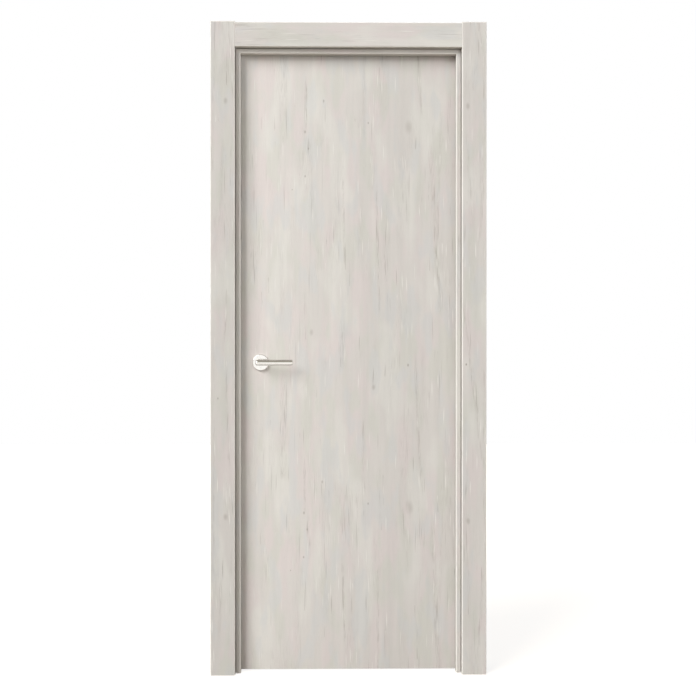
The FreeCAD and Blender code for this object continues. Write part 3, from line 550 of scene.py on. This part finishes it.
def dress_casings():
    """Boards with bare backs; the head boards' ends are hidden between the side boards."""
    front = {"width": CASING_LEFT_HIGH.x - CASING_LEFT_LOW.x, "fold_from": FRONT_Y, "raw": (0, 1, 0)}
    rear = dict(front, raw=(0, -1, 0))
    head = {"decor": HEAD_BOARD, "grain": "x", "start": CASING_HEAD_LOW.z, "ends": 0.0}
    assign(decor_material("decor_casing_left", SIDE_LEFT, start=CASING_LEFT_LOW.x, **front),
           "casing_front_left")
    assign(decor_material("decor_casing_right", SIDE_RIGHT, start=CASING_RIGHT_LOW.x, fold=-1.0, **front),
           "casing_front_right")
    assign(decor_material("decor_casing_head", fold=-1.0, **head, **front), "casing_front_head")
    assign(decor_material("decor_casing_rear", SIDE_RIGHT, start=CASING_LEFT_LOW.x, **rear),
           "casing_rear_left", "casing_rear_right")
    assign(decor_material("decor_casing_rear_head", **head, **rear), "casing_rear_head")


def dress_jambs():
    """Rebated members, bare where they lie against the wall."""
    assign(decor_material("decor_jamb_hinge", NARROW, JAMB_WIDTH, start=JAMB_RIGHT_LOW.x,
                          fold_from=JAMB_RIGHT_LOW.y, fold=-1.0, raw=(1, 0, 0)), "jamb_hinge_side")
    # The latch and head jambs take the lighter copy of the print, with its painted light
    assign(decor_material("decor_jamb_latch", NARROW_PAINTED_LIGHT, JAMB_WIDTH, start=JAMB_LEFT_LOW.x,
                          fold_from=JAMB_LEFT_LOW.y, raw=(-1, 0, 0)), "jamb_latch_side")
    assign(decor_material("decor_jamb_head", NARROW_PAINTED_LIGHT, JAMB_WIDTH, "x", start=JAMB_HEAD_LOW.z,
                          fold_from=JAMB_HEAD_LOW.y, fold=-1.0, raw=(0, 0, 1)), "jamb_head")
    assign(soft_seal(), "seal_hinge_side", "seal_latch_side", "seal_head")


def dress_metal():
    steel = brushed_steel("hinge_satin_steel", HINGE_STEEL)
    for place in ("top", "middle", "bottom"):
        assign(steel, f"hinge_frame_leaf_{place}", f"hinge_door_leaf_{place}", f"hinge_pin_{place}")
    latch = brushed_steel("latch_satin_steel", LATCH_STEEL, roughness=0.34)
    assign(latch, "latch_forend", "latch_case", "latch_bolt", "latch_follower", "strike_plate", "spindle")
    assign(polished_metal(), "rosette_front", "rosette_rear", "lever_front", "lever_rear")


# Studio: camera as in the photograph, white surroundings and soft light

CAMERA_DISTANCE = 3.5
CAMERA_LEFT = 0.047
CAMERA_HEIGHT = 1.0754
CAMERA_TURN = math.radians(0.736)
CAMERA_DIP = math.radians(0.193)
CAMERA_LENS = 55.73
SENSOR_WIDTH = 36.0


def add_camera():
    data = bpy.data.cameras.new("camera")
    data.lens = CAMERA_LENS
    data.sensor_width = SENSOR_WIDTH
    camera = bpy.data.objects.new("camera", data)
    bpy.context.scene.collection.objects.link(camera)
    camera.location = (DOOR_MIDDLE_X - CAMERA_LEFT, FRONT_Y - CAMERA_DISTANCE, CAMERA_HEIGHT)
    camera.rotation_euler = (math.pi / 2 - CAMERA_DIP, 0, -CAMERA_TURN)
    bpy.context.scene.camera = camera


# A key from the upper left, a weak low fill from the right, and a light for the back. Each comes
# from so many degrees to the left of the camera and above the horizon. Part of the key passes
# through the levers, and LEVER_SHADOW is the rest, which they stop.
KEY_STRENGTH = 2.90
KEY_FROM = (41, 32)
FILL_STRENGTH = 0.68
FILL_FROM = (-38, 6)
BACK_STRENGTH = 2.1
BACK_FROM = (152, 30)
LEVER_SHADOW = 0.45
SUN_SPREAD_DEGREES = 33
SUN_COLOUR = (0.99, 0.995, 1.0)


def add_sun(name, strength, left_degrees, up_degrees):
    """A far soft light, seen from the object as a disc of the spread's width in the sky."""
    data = bpy.data.lights.new(name, "SUN")
    data.energy = strength
    data.angle = math.radians(SUN_SPREAD_DEGREES)
    data.color = SUN_COLOUR
    light = bpy.data.objects.new(name, data)
    bpy.context.scene.collection.objects.link(light)
    left, up = math.radians(left_degrees), math.radians(up_degrees)
    towards = Vector((-math.sin(left) * math.cos(up), -math.cos(left) * math.cos(up), math.sin(up)))
    light.rotation_euler = towards.to_track_quat("Z", "Y").to_euler()
    return light


def all_but(name, excluded):
    """A collection that makes a light's linking leave out the pieces in it."""
    collection = bpy.data.collections.new(name)
    for piece in excluded:
        collection.objects.link(piece)
    for member in collection.collection_objects:
        member.light_linking.link_state = "EXCLUDE"
    return collection


def pass_levers(light):
    """Lets a light through the levers, so that their shadow on the leaf stays faint."""
    levers = [nodes["lever_front"], nodes["lever_rear"]]
    light.light_linking.blocker_collection = all_but("levers", levers)


def spare(light, spared):
    """Keeps a light off these pieces, so that it neither lights them nor shows in their gloss."""
    light.light_linking.receiver_collection = all_but(light.name + "_spared", spared)


# The even light, and what metal mirrors from straight down to straight up
AMBIENT = 0.22
MIRRORED_STUDIO = (
    (0.0, (1.2, 1.2, 1.2, 1.0)),
    (0.51, (1.25, 1.25, 1.24, 1.0)),
    (0.60, (0.80, 0.78, 0.72, 1.0)),
    (0.72, (0.50, 0.47, 0.41, 1.0)),
    (0.90, (0.32, 0.30, 0.25, 1.0)),
    (1.0, (0.26, 0.25, 0.21, 1.0)),
)


def add_world():
    """White to the camera, even light on the object, and a studio for metal to mirror."""
    world = bpy.data.worlds.new("studio")
    world.use_nodes = True
    bpy.context.scene.world = world
    g = Graph(world.node_tree)
    rays = g.node("ShaderNodeLightPath").outputs
    height = g.split(g.node("ShaderNodeTexCoord").outputs["Generated"])[2]
    studio = g.ramp(g.math("MULTIPLY_ADD", height, 0.5, 0.5), MIRRORED_STUDIO)
    seen = g.mix(rays["Is Glossy Ray"], (AMBIENT, AMBIENT, AMBIENT, 1.0), studio)
    straight = g.math("MAXIMUM", rays["Is Camera Ray"], rays["Is Transmission Ray"])
    seen = g.mix(straight, seen, (1, 1, 1, 1))
    light = g.node("ShaderNodeBackground", {"Color": seen, "Strength": 1.0})
    g.node("ShaderNodeOutputWorld", {"Surface": light.outputs[0]})


# The floor is darker under the object, so that little of its colour is cast up
FLOOR_SIZE = 16.0
FLOOR_GLOW = 0.87
FLOOR_NEAR = srgb(139, 129, 116)
FLOOR_NEAR_PALE = srgb(145, 135, 122)
FLOOR_FAR = srgb(188, 179, 167)

# Metres from its middle over which its colour fades, and over which it comes to mirror white
FLOOR_FADE = (0.3, 2.5)
FLOOR_WHITE = (0.30, 0.52)
FLOOR_MIRRORED_NEAR = 0.12


def add_floor():
    """A pale floor that fades into the white behind and still takes the object's shadow."""
    mesh = bpy.data.meshes.new("floor")
    half = FLOOR_SIZE / 2
    corners = [(-half, -half, 0), (half, -half, 0), (half, half, 0), (-half, half, 0)]
    mesh.from_pydata(corners, [], [(0, 1, 2, 3)])
    floor = bpy.data.objects.new("floor", mesh)
    bpy.context.scene.collection.objects.link(floor)
    floor.location.x = DOOR_MIDDLE_X
    material, g = new_material("floor_white")
    place = g.place()
    away = g.node("ShaderNodeVectorMath", {0: place}, operation="LENGTH").outputs["Value"]
    near = g.mix(g.noise(place, 30.0, 3.0), FLOOR_NEAR, FLOOR_NEAR_PALE)
    colour = g.mix(g.blend_up(away, *FLOOR_FADE), near, FLOOR_FAR)
    matt = g.node("ShaderNodeBsdfDiffuse", {"Color": colour, "Roughness": 0.5})
    rays = g.node("ShaderNodeLightPath").outputs
    white = g.blend_up(away, *FLOOR_WHITE, FLOOR_MIRRORED_NEAR, 1.0)
    mirrored = g.times(rays["Is Glossy Ray"], white)
    shown = g.math("MAXIMUM", rays["Is Camera Ray"], mirrored)
    glow = g.node("ShaderNodeEmission", {"Color": (1, 1, 1, 1), "Strength": g.times(shown, FLOOR_GLOW)})
    both = g.node("ShaderNodeAddShader", {0: matt.outputs[0], 1: glow.outputs[0]})
    g.node("ShaderNodeOutputMaterial", {"Surface": both.outputs[0]})
    mesh.materials.append(material)
    return floor


def add_studio():
    add_camera()
    add_world()
    floor = add_floor()
    add_sun("key", KEY_STRENGTH * LEVER_SHADOW, *KEY_FROM)
    pass_levers(add_sun("key_past_levers", KEY_STRENGTH * (1 - LEVER_SHADOW), *KEY_FROM))
    metal = [nodes[name] for name in ("lever_front", "lever_rear", "rosette_front", "rosette_rear")]
    fill = add_sun("fill", FILL_STRENGTH, *FILL_FROM)
    pass_levers(fill)
    spare(fill, metal)
    spare(add_sun("back", BACK_STRENGTH, *BACK_FROM), [floor] + metal)
    bpy.context.scene.view_settings.view_transform = "Standard"


# Screws: countersunk in the holes of the metal plates, and one set into the neck of each lever

# Sizes as in the part's source, in metres
HINGE_PLATE = 0.003
HINGE_BARREL = 0.006
HINGE_SCREW = {"hole": 0.0024, "sink": 0.0018}
LATCH_SCREW = {"hole": 0.0021, "sink": 0.0013}
LATCH_SCREW_INSET = 0.0085
LEVER_RADIUS = 0.010
LEVER_NECK_RADIUS = 0.009

# Screws of a hinge plate: shares of its reach back from the pin and of its height
HINGE_SCREWS = ((0.79, 0.14), (0.46, 0.38), (0.79, 0.62), (0.46, 0.86))

# The screws' own form: lengths in metres, and the keys' recesses as shares of the head's size.
# The edge of a head is worn round: places inward from its rim, and their heights.
SCREW_RIM = 32
SCREW_PLAY = 0.00012
HEAD_EDGE = ((0.0002, -0.0002), (0.0003, -0.00005), (0.0006, 0.0))
RECESS_TAPER = 0.8
CROSS_REACH = 0.55
CROSS_ARM = 0.11
CROSS_DEPTH = 0.7
SET_SCREW_RADIUS = 0.0022
SET_SCREW_LENGTH = 0.001
SET_SCREW_EDGE = 0.0002
SOCKET_REACH = 0.6
SOCKET_DEPTH = 0.0008
SET_SCREW_STAND = 0.0001


def cross_outline(radius, arm):
    """Corners of a cross-shaped recess, counter-clockwise."""
    corners = []
    for quarter in range(4):
        turn = Matrix.Rotation(quarter * math.pi / 2, 2)
        for point in ((radius, -arm), (radius, arm), (arm, arm)):
            corners.append(turn @ Vector(point))
    return corners


def hexagon_outline(radius):
    return [Matrix.Rotation(side * math.pi / 3, 2) @ Vector((radius, 0.0)) for side in range(6)]


def add_screw(target, place, normal, profile, outline, recess):
    """A turned screw in a bmesh: its profile as (radius, height) from its end up to its face.

    The face is at height 0 and looks along normal; outline is the key's hole in it, recess its depth.
    """
    turn = Vector((0, 0, 1)).rotation_difference(normal).to_matrix()

    def vertex(x, y, z):
        return target.verts.new(Vector(place) + turn @ Vector((x, y, z)))

    def ring(radius, z):
        angles = [2 * math.pi * i / SCREW_RIM for i in range(SCREW_RIM)]
        return [vertex(radius * math.cos(angle), radius * math.sin(angle), z) for angle in angles]

    def join(low, high):
        for i in range(len(low)):
            after = (i + 1) % len(low)
            target.faces.new((low[i], low[after], high[after], high[i]))

    rings = [ring(radius, z) for radius, z in profile]
    for low, high in zip(rings, rings[1:]):
        join(low, high)
    target.faces.new(rings[0][::-1])
    lip = [vertex(point.x, point.y, 0.0) for point in outline]
    foot = [vertex(point.x * RECESS_TAPER, point.y * RECESS_TAPER, -recess) for point in outline]
    join(foot, lip)
    target.faces.new(foot)
    edges = [target.edges.get((loop[i], loop[(i + 1) % len(loop)]))
             for loop in (rings[-1], lip) for i in range(len(loop))]
    bmesh.ops.triangle_fill(target, use_beauty=True, use_dissolve=False, edges=edges)


def countersunk(depth, hole, sink):
    """Profile, key outline and key depth of a screw seated in a hole with a countersink."""
    head = hole + sink - SCREW_PLAY
    shank = hole - SCREW_PLAY
    profile = [(shank, -depth), (shank, -sink)]
    profile += [(head - inward, height) for inward, height in HEAD_EDGE]
    return profile, cross_outline(head * CROSS_REACH, head * CROSS_ARM), sink * CROSS_DEPTH


def set_screw():
    """The same of a headless screw with a socket for a hexagon key."""
    radius = SET_SCREW_RADIUS
    profile = [(radius, -SET_SCREW_LENGTH), (radius, -SET_SCREW_EDGE), (radius - SET_SCREW_EDGE, 0.0)]
    return profile, hexagon_outline(radius * SOCKET_REACH), SOCKET_DEPTH


def screws(name, body, places, normal, form, material):
    """One piece of all the screws of a plate; form is what countersunk or set_screw returns."""
    target = bmesh.new()
    for place in places:
        add_screw(target, place, Vector(normal), *form)
    bmesh.ops.recalc_face_normals(target, faces=target.faces)
    mesh = bpy.data.meshes.new(name)
    target.to_mesh(mesh)
    target.free()
    mesh.materials.append(material)
    piece = bpy.data.objects.new(name, mesh)
    bpy.context.scene.collection.objects.link(piece)
    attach(piece, body)


def latch_places(low, high, face):
    """Where the two screws of a forend or a strike plate are, on its face."""
    middle = (low.y + high.y) / 2
    return [(face, middle, low.z + LATCH_SCREW_INSET), (face, middle, high.z - LATCH_SCREW_INSET)]


def add_screws():
    steel = brushed_steel("screw_steel", SCREW_STEEL, roughness=0.26)
    hinge_form = countersunk(HINGE_PLATE, **HINGE_SCREW)
    for place in ("top", "middle", "bottom"):
        low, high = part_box(f"hinge_frame_leaf_{place}")
        pin_x, pin_y = (low.x + high.x) / 2, high.y - HINGE_BARREL
        reach, height = pin_y - low.y, high.z - low.z
        spots = [(pin_y - reach * back, low.z + height * up) for back, up in HINGE_SCREWS]
        door_x = SKIN_HIGH.x
        frame_x = 2 * pin_x - door_x
        screws(f"hinge_frame_screws_{place}", "frame",
               [(frame_x, y, z) for y, z in spots], (-1, 0, 0), hinge_form, steel)
        screws(f"hinge_door_screws_{place}", "leaf",
               [(door_x, y, z) for y, z in spots], (1, 0, 0), hinge_form, steel)
    low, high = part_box("latch_forend")
    latch_form = countersunk(high.x - low.x, **LATCH_SCREW)
    screws("forend_screws", "leaf", latch_places(low, high, low.x),
           (-1, 0, 0), latch_form, steel)
    low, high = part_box("strike_plate")
    latch_form = countersunk(high.x - low.x, **LATCH_SCREW)
    screws("strike_screws", "frame", latch_places(low, high, high.x),
           (1, 0, 0), latch_form, steel)


def add_set_screws():
    """Under each neck, half way between the rosette and the grip."""
    dark = brushed_steel("set_screw_steel", SET_SCREW_STEEL, roughness=0.35)
    low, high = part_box("rosette_front")
    handle_x, handle_z = (low.x + high.x) / 2, (low.z + high.z) / 2
    front_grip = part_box("lever_front")[0].y + 2 * LEVER_RADIUS
    rear_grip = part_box("lever_rear")[1].y - 2 * LEVER_RADIUS
    rear_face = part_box("rosette_rear")[1].y
    for side, face, grip in (("front", low.y, front_grip), ("rear", rear_face, rear_grip)):
        place = (handle_x, (face + grip) / 2, handle_z - LEVER_NECK_RADIUS - SET_SCREW_STAND)
        screws(f"lever_set_screw_{side}", "handles", [place], (0, 0, -1),
               set_screw(), dark)


add_studio()
dress_leaf()
dress_casings()
dress_jambs()
dress_metal()
add_screws()
add_set_screws()
